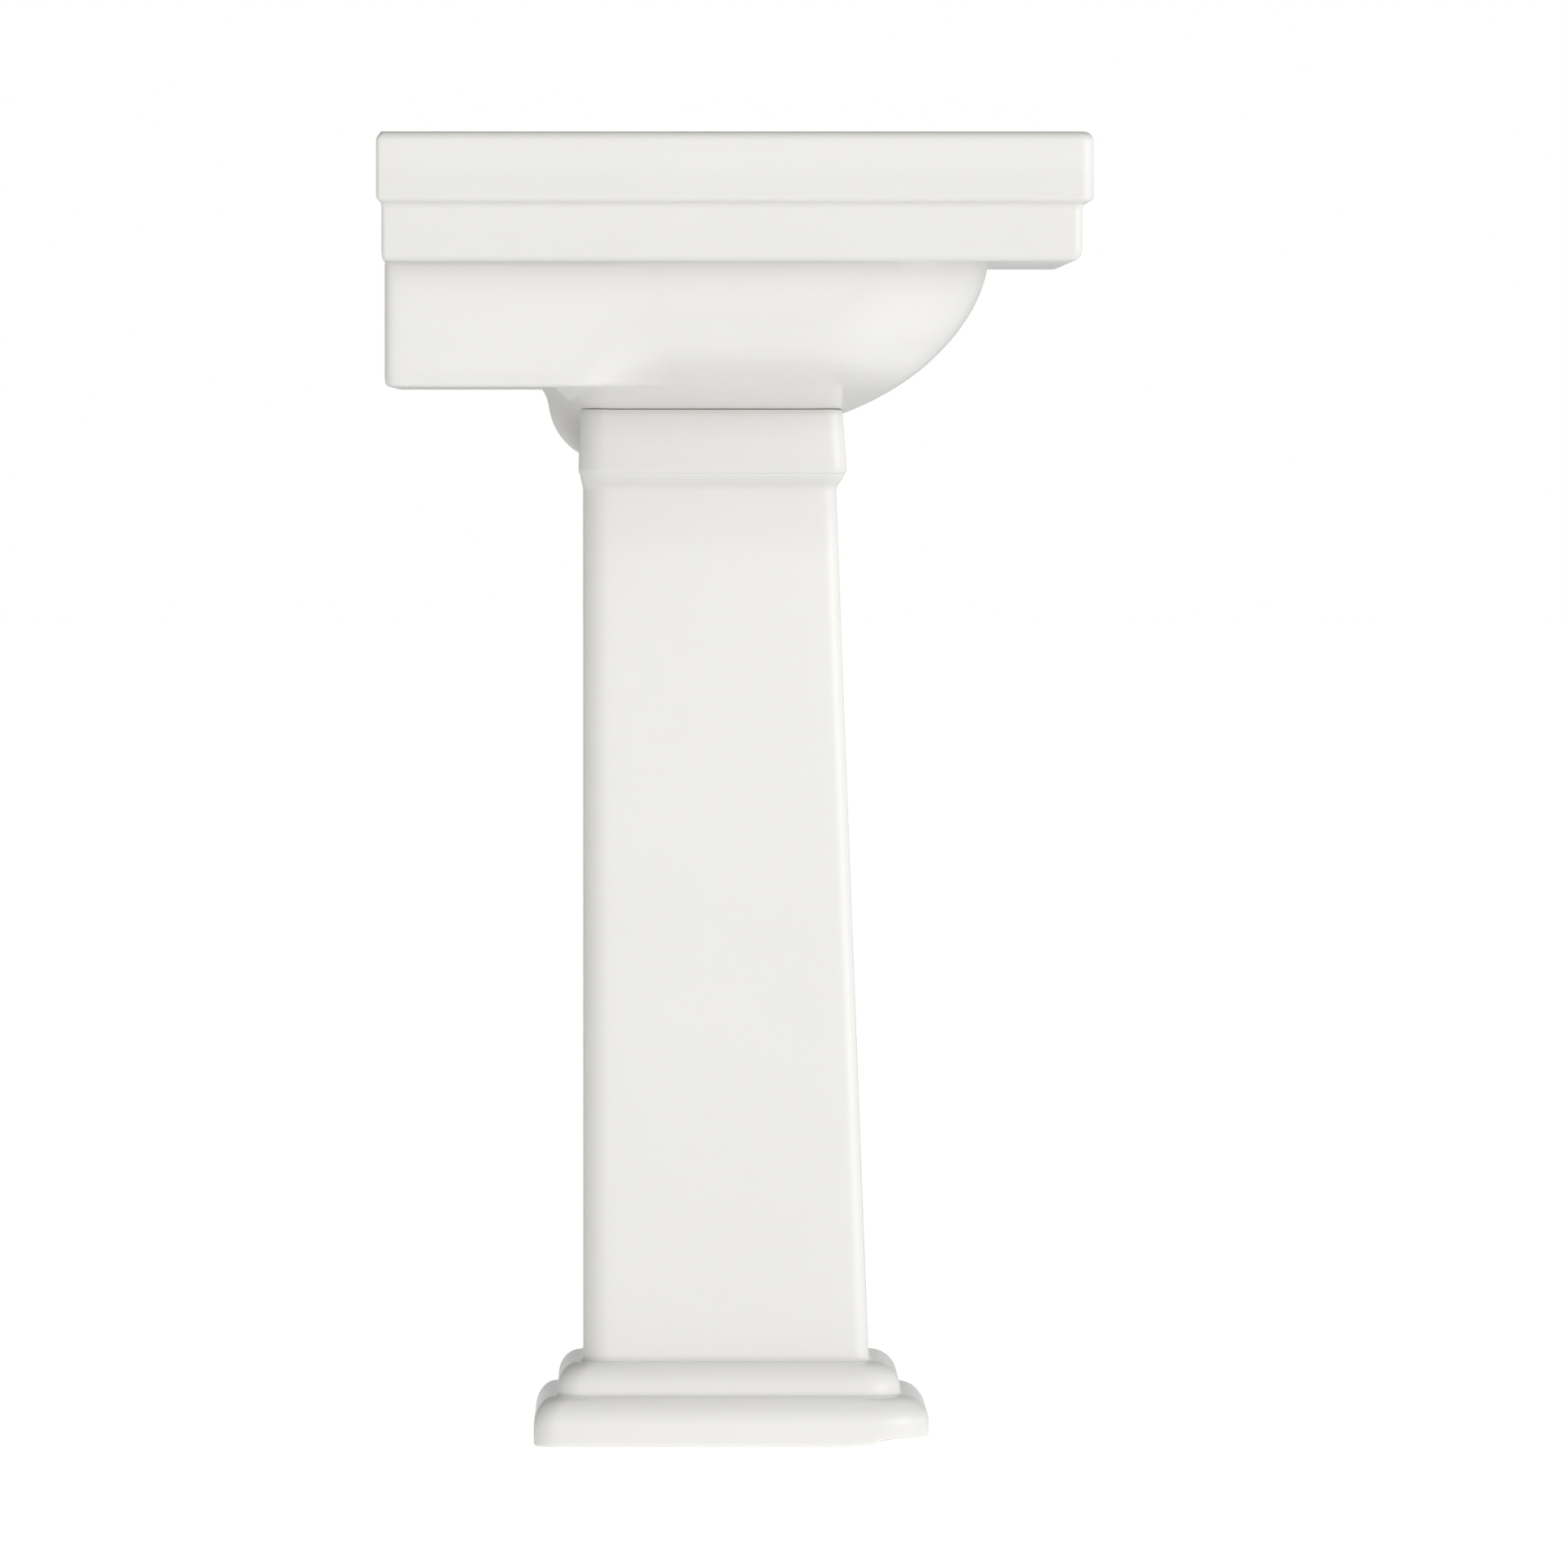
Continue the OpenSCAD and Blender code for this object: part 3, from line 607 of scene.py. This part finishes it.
# %% Relief under the front of the foot
LIFT = 5.5 * MM
FADE_Z = 26 * MM                  # the lift has faded out at this height
LIFT_Y, LIFT_RUN = -86 * MM, 20 * MM
for v in column.data.vertices:
    if v.co.z < FADE_Z:
        forward = ease((LIFT_Y - v.co.y) / LIFT_RUN)
        v.co.z += LIFT * forward * (1 - v.co.z / FADE_Z)
print("front lip of the foot, mm above the floor:", LIFT / MM)

# %% [markdown]
# The hollow, the opening and the landing for the bowl are cut out. The opening's cutter is lofted
# along Y and swells at both faces of the wall, which rounds the edge that a hand would meet.

# %% Column hollow and opening
WALL = 12 * MM


def hollow_ring(t, z):
    """Outline of the shaft's inside, one wall in from the outside."""
    return shaft_ring(t, z, -WALL, -WALL, -WALL, 7 * MM)


rings = [foot_ring(inset * MM, z * MM) for inset, z in ((16, -5), (16, 0), (18, 2), (18, 18), (24, 30))]
rings.append(hollow_ring(0, 54 * MM))
rings += [hollow_ring(t, COVE_Z * t + SHAFT_Z * (1 - t)) for t in steps(0.1, 1, 9)]
rings.append(hollow_ring(1, CAP_TOP + 5 * MM))
combine(column, "DIFFERENCE", as_object(loft(rings), "hollow cutter"))

rings = [outline((82 - inset) * MM, (68 + inset) * MM, 122 * MM, 6 * MM, 1 * MM, z * MM)
         for inset, z in ((0, 0), (0, 12), (0.6, 13.4), (2, 14))]
lug = as_object(loft(rings), "floor lug")
combine(column, "UNION", lug)


def opening_ring(grow, y):
    """Outline of the service opening at y, seen along Y."""
    ring = outline(58 * MM + grow, 66 * MM - grow, 760 * MM, 20 * MM + grow, 5 * MM, 0)
    return [Vector((p.x, y, p.y)) for p in ring]


inner, outer = SHAFT_BACK - WALL, SHAFT_BACK
rings = [opening_ring(3 * MM, inner - 4 * MM)]
for a in steps(0, 90, 6):
    t = math.radians(a)
    rings.append(opening_ring(3 * MM * (1 - math.sin(t)), inner + 3 * MM * (1 - math.cos(t))))
for a in steps(0, 90, 6):
    t = math.radians(a)
    rings.append(opening_ring(3 * MM * (1 - math.cos(t)), outer - 3 * MM * (1 - math.sin(t))))
rings.append(opening_ring(3 * MM, outer + 10 * MM))
LUG_TOP = 14 * MM
screw_holes = [round_hole(4.5 * MM, 0, LUG_TOP, Vector((x * MM, 88 * MM, 0)), flare_high=1 * MM)
               for x in (-60, 60)]
landing = bowl_solid("landing cutter", drop=0.4 * MM)
combine(column, "DIFFERENCE", as_object(loft(rings), "opening cutter"), landing, *screw_holes)
count_faults(column)

# %% [markdown]
# ## The push button
# The stopper's cap is a chromed brass dome. A half profile spun round the waste's axis gives it an
# even curve right up to its rolled edge.

# %% Stopper cap
cap_low, cap_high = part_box("stopper_cap")
profile = [(0, 6.0)]
for k in range(1, 13):
    a = math.radians(90 * k / 12)
    profile.append((23.2 * math.sin(a) ** 0.9, 2.2 + 3.8 * math.cos(a) ** 0.8))
profile += [(24.4, 2.1), (24.85, 1.6), (25, 1), (24.8, 0.4), (24.2, 0), (0, 0)]
bm = spun([(r * MM, z * MM) for r, z in profile], 96)
bmesh.ops.translate(bm, vec=(0, waste.y, cap_low.z), verts=bm.verts)
bmesh.ops.recalc_face_normals(bm, faces=bm.faces)
button = as_object(bm, "Push_button")
count_faults(button)

# %% [markdown]
# ## Materials
# A colour picked from a real surface is an sRGB value, and shaders work in linear light, so one
# function turns the hex code of a colour into what a socket wants. Another adds a node with its
# settings and its links in one line, so that each material reads as a short recipe.

# %% Colour and node helpers
def linear(code):
    """An sRGB hex colour as linear RGBA."""
    parts = [int(code[i:i + 2], 16) / 255 for i in (1, 3, 5)]
    return [c / 12.92 if c <= 0.04045 else ((c + 0.055) / 1.055) ** 2.4 for c in parts] + [1.0]


def node(tree, kind, settings=None, **links):
    """Adds a node. settings are properties or plain values, links are sockets to read from."""
    made = tree.nodes.new(kind)
    for key, value in (settings or {}).items():
        if key in made.inputs:
            made.inputs[key].default_value = value
        else:
            setattr(made, key, value)
    for key, source in links.items():
        tree.links.new(source, made.inputs[key.replace("_", " ")])
    return made


def material(name):
    """An empty node material with its output, and its Principled shader."""
    made = bpy.data.materials.new(name)
    made.use_nodes = True
    made.node_tree.nodes.clear()
    tree = made.node_tree
    shader = node(tree, "ShaderNodeBsdfPrincipled")
    node(tree, "ShaderNodeOutputMaterial", None, Surface=shader.outputs["BSDF"])
    return made, tree, shader


# %% [markdown]
# ### Vitreous china
# Vitreous china is a dense white clay body under a fired tin glaze. The glaze is a clear-looking gloss
# that lies in very shallow waves about a hand wide, where it ran and settled in the kiln, and it has a
# fine orange peel of 2 or 3 mm. The colour is a warm white that drifts by a part or two in a hundred
# where the glaze lies thicker.

# %% China
china, tree, shader = material("Vitreous china, white gloss glaze")
place = node(tree, "ShaderNodeTexCoord").outputs["Object"]
drift = node(tree, "ShaderNodeTexNoise", {"Scale": 9.0, "Detail": 3.0, "Roughness": 0.5}, Vector=place)
tint = node(tree, "ShaderNodeMix", {"data_type": "RGBA"}, Factor=drift.outputs["Fac"])
tint.inputs[6].default_value = linear("#e7e6e3")
tint.inputs[7].default_value = linear("#e4e3df")
waves = node(tree, "ShaderNodeTexNoise", {"Scale": 9.0, "Detail": 1.0, "Roughness": 0.3}, Vector=place)
peel = node(tree, "ShaderNodeTexNoise", {"Scale": 420.0, "Detail": 1.0, "Roughness": 0.5}, Vector=place)
wavy = node(tree, "ShaderNodeBump", {"Strength": 0.2, "Distance": 0.0005}, Height=waves.outputs["Fac"])
peeled = node(tree, "ShaderNodeBump", {"Strength": 0.04, "Distance": 0.00002},
              Height=peel.outputs["Fac"], Normal=wavy.outputs["Normal"])
tree.links.new(tint.outputs[2], shader.inputs["Base Color"])
tree.links.new(peeled.outputs["Normal"], shader.inputs["Normal"])
gloss = node(tree, "ShaderNodeMapRange", {"To Min": 0.07, "To Max": 0.13}, Value=drift.outputs["Fac"])
tree.links.new(gloss.outputs["Result"], shader.inputs["Roughness"])
shader.inputs["IOR"].default_value = 1.52

# %% [markdown]
# ### Chrome, brass and spring wire
# Chrome plate is a mirror over polished brass, with a faint haze of wiping marks a few centimetres
# long. Turned brass shows the rings of the lathe tool. They are drawn about a millimetre apart, coarser
# than real ones, so that they still show at a distance. The spring is drawn stainless wire, which is
# duller.

# %% Metals
chrome, tree, shader = material("Bright chrome plate on brass")
place = node(tree, "ShaderNodeTexCoord").outputs["Object"]
haze = node(tree, "ShaderNodeTexNoise", {"Scale": 45.0, "Detail": 4.0, "Roughness": 0.6}, Vector=place)
dull = node(tree, "ShaderNodeMapRange", {"To Min": 0.05, "To Max": 0.13}, Value=haze.outputs["Fac"])
tree.links.new(dull.outputs["Result"], shader.inputs["Roughness"])
shader.inputs["Base Color"].default_value = linear("#dadcde")
shader.inputs["Metallic"].default_value = 1.0

brass, tree, shader = material("Turned brass, unplated")
place = node(tree, "ShaderNodeTexCoord").outputs["Object"]
stain = node(tree, "ShaderNodeTexNoise", {"Scale": 60.0, "Detail": 5.0, "Roughness": 0.6}, Vector=place)
tone = node(tree, "ShaderNodeMix", {"data_type": "RGBA"}, Factor=stain.outputs["Fac"])
tone.inputs[6].default_value = linear("#cda95a")
tone.inputs[7].default_value = linear("#b98f45")
rings_of_tool = node(tree, "ShaderNodeTexWave", {"wave_type": "BANDS", "bands_direction": "Z", "Scale": 320.0,
                                                 "Distortion": 0.6}, Vector=place)
cut = node(tree, "ShaderNodeBump", {"Strength": 0.25, "Distance": 0.00003},
           Height=rings_of_tool.outputs["Fac"])
tree.links.new(tone.outputs[2], shader.inputs["Base Color"])
tree.links.new(cut.outputs["Normal"], shader.inputs["Normal"])
shader.inputs["Roughness"].default_value = 0.28
shader.inputs["Metallic"].default_value = 1.0

wire, tree, shader = material("Drawn stainless wire")
place = node(tree, "ShaderNodeTexCoord").outputs["Object"]
drawn = node(tree, "ShaderNodeTexNoise", {"Scale": 900.0, "Detail": 2.0}, Vector=place)
dull = node(tree, "ShaderNodeMapRange", {"To Min": 0.25, "To Max": 0.4}, Value=drawn.outputs["Fac"])
tree.links.new(dull.outputs["Result"], shader.inputs["Roughness"])
shader.inputs["Base Color"].default_value = linear("#b4b5b7")
shader.inputs["Metallic"].default_value = 1.0

# %% [markdown]
# ### Rubber and nylon
# Moulded rubber is nearly black and matt, with a fine grain from the mould. The nylon of the washers
# and of the trap's inner tube is off-white and slightly waxy.

# %% Rubber and nylon
rubber, tree, shader = material("Moulded black rubber")
place = node(tree, "ShaderNodeTexCoord").outputs["Object"]
grit = node(tree, "ShaderNodeTexNoise", {"Scale": 1400.0, "Detail": 2.0}, Vector=place)
bloom = node(tree, "ShaderNodeTexNoise", {"Scale": 70.0, "Detail": 3.0}, Vector=place)
shade = node(tree, "ShaderNodeMix", {"data_type": "RGBA"}, Factor=bloom.outputs["Fac"])
shade.inputs[6].default_value = linear("#242425")
shade.inputs[7].default_value = linear("#313132")
rough = node(tree, "ShaderNodeBump", {"Strength": 0.3, "Distance": 0.00005}, Height=grit.outputs["Fac"])
tree.links.new(shade.outputs[2], shader.inputs["Base Color"])
tree.links.new(rough.outputs["Normal"], shader.inputs["Normal"])
shader.inputs["Roughness"].default_value = 0.62

nylon, tree, shader = material("Moulded nylon, off-white")
place = node(tree, "ShaderNodeTexCoord").outputs["Object"]
flow = node(tree, "ShaderNodeTexNoise", {"Scale": 50.0, "Detail": 3.0}, Vector=place)
shade = node(tree, "ShaderNodeMix", {"data_type": "RGBA"}, Factor=flow.outputs["Fac"])
shade.inputs[6].default_value = linear("#e9e6dc")
shade.inputs[7].default_value = linear("#dedacd")
tree.links.new(shade.outputs[2], shader.inputs["Base Color"])
shader.inputs["Roughness"].default_value = 0.45
shader.inputs["IOR"].default_value = 1.53

# %% [markdown]
# ## Give each piece its finish and its body
# The new castings stand for the measured ones, which stay for the physics. Everything is fixed except
# the push button, which rides on the sprung stopper.

# %% Assign
FINISHES = {"china": china, "chrome": chrome, "brass": brass, "spring_steel": wire,
            "rubber": rubber, "nylon": nylon}


def finish_piece(piece, finish):
    piece.data.materials.clear()
    piece.data.materials.append(finish)


NEW_PIECES = ((basin, "basin", "sink", "china"),
              (column, "pedestal", "sink", "china"),
              (button, "stopper_cap", "stopper", "chrome"))
for piece, stands_for, carried_by, slot in NEW_PIECES:
    finish_piece(piece, FINISHES[slot])
    piece.data.shade_smooth()
    piece.data.set_sharp_from_angle(angle=math.radians(38))
    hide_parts(stands_for)
    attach(piece, carried_by)

for part in frame["record"]["subparts"]:
    finish_piece(frame["nodes"][part["node"]], FINISHES[part["material_slot"]])

# %% [markdown]
# ### The spring under the button
# Pressing the button brings its barrel down on the coil spring. The spring's foot stays on the post's
# collar, so on the real stopper it shortens by just as much as the barrel travels. Here it only gets a mesh
# of its own.

# %% Spring with a mesh of its own
spring = frame["nodes"]["stopper_spring"]
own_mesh(spring)

# %% [markdown]
# ## Floor, light and camera
# White china on white shows its form only through gentle shade. A product studio lights it level, from
# the sides: the surround is bright near the horizon on the camera's side and falls off overhead and
# behind, so a shoulder that turns up goes grey. The floor is a lit white sheet, which keeps the edges
# that turn down from going black. The darker part behind is what a glazed edge mirrors at a flat
# angle, and it draws a thin grey line round the shape.

# %% Floor
bm = bmesh.new()
bmesh.ops.create_grid(bm, x_segments=1, y_segments=1, size=60)
bmesh.ops.translate(bm, vec=(0, 0, -0.3 * MM), verts=bm.verts)
floor = as_object(bm, "Floor")
sheet, tree, shader = material("Lit white acrylic sheet")
place = node(tree, "ShaderNodeTexCoord").outputs["Object"]
# The sheet glows most on the camera's side, 0.9 m out, and least 1.6 m out behind and towards the wall.
across = node(tree, "ShaderNodeVectorMath", {"operation": "DOT_PRODUCT"}, Vector=place)
across.inputs[1].default_value = (0.8, 0.6, 0)
glow = node(tree, "ShaderNodeMapRange", {"From Min": -0.9, "From Max": 1.6, "To Min": 0.74, "To Max": 0.25},
            Value=across.outputs["Value"])
eye = node(tree, "ShaderNodeLightPath")
lit = node(tree, "ShaderNodeMath", {"operation": "MAXIMUM"})
tree.links.new(eye.outputs["Is Camera Ray"], lit.inputs[0])
tree.links.new(glow.outputs["Result"], lit.inputs[1])
tree.links.new(lit.outputs["Value"], shader.inputs["Emission Strength"])
shader.inputs["Base Color"].default_value = linear("#f6f6f6")
shader.inputs["Roughness"].default_value = 0.8
shader.inputs["Emission Color"].default_value = linear("#dcdcdc")
finish_piece(floor, sheet)
floor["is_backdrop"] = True

# %% Surround
world = bpy.data.worlds.new("Soft surround")
bpy.context.scene.world = world
world.use_nodes = True
world.node_tree.nodes.clear()
tree = world.node_tree
toward = node(tree, "ShaderNodeTexCoord").outputs["Generated"]
# Less light comes from behind (+X) and from the wall's side (+Y), and least of all from overhead.
lean = node(tree, "ShaderNodeVectorMath", {"operation": "DOT_PRODUCT"})
lean.inputs[1].default_value = (-0.55, -0.36, -1.05)
tree.links.new(toward, lean.inputs[0])
fall = node(tree, "ShaderNodeMath", {"operation": "ADD"})
fall.inputs[1].default_value = 1.12
tree.links.new(lean.outputs["Value"], fall.inputs[0])
lit = node(tree, "ShaderNodeBackground", {"Color": linear("#ffffff")}, Strength=fall.outputs["Value"])
# The camera itself sees a plain white backdrop.
seen = node(tree, "ShaderNodeBackground", {"Color": linear("#ffffff"), "Strength": 1.0})
eye = node(tree, "ShaderNodeLightPath")
both = node(tree, "ShaderNodeMixShader")
tree.links.new(eye.outputs["Is Camera Ray"], both.inputs[0])
tree.links.new(lit.outputs[0], both.inputs[1])
tree.links.new(seen.outputs[0], both.inputs[2])
node(tree, "ShaderNodeOutputWorld", None, Surface=both.outputs[0])

# %% Soft lamp
lamp_data = bpy.data.lights.new("Soft lamp", "AREA")
lamp_data.shape = "RECTANGLE"
lamp_data.size, lamp_data.size_y = 4.0, 2.0
lamp_data.energy = 30
lamp = bpy.data.objects.new("Soft lamp", lamp_data)
bpy.context.scene.collection.objects.link(lamp)
lamp.location = (-2.6, -4.6, 1.2)
lamp.rotation_euler = (Vector((0, 0, 0.6)) - lamp.location).to_track_quat("-Z", "Y").to_euler()

# %% Camera
camera_data = bpy.data.cameras.new("Camera")
camera = bpy.data.objects.new("Camera", camera_data)
bpy.context.scene.collection.objects.link(camera)
bpy.context.scene.camera = camera
camera_data.sensor_width = 36
camera_data.lens = 422
camera_data.clip_end = 200
camera.location = (-12.6, 0.058, 0.676)
aim = Vector((0, -0.035, 0.448))
camera.rotation_euler = (aim - camera.location).to_track_quat("-Z", "Y").to_euler()
bpy.context.scene.view_settings.view_transform = "Standard"
bpy.context.scene.view_settings.look = "None"
print("camera distance, m:", round((aim - camera.location).length, 2))
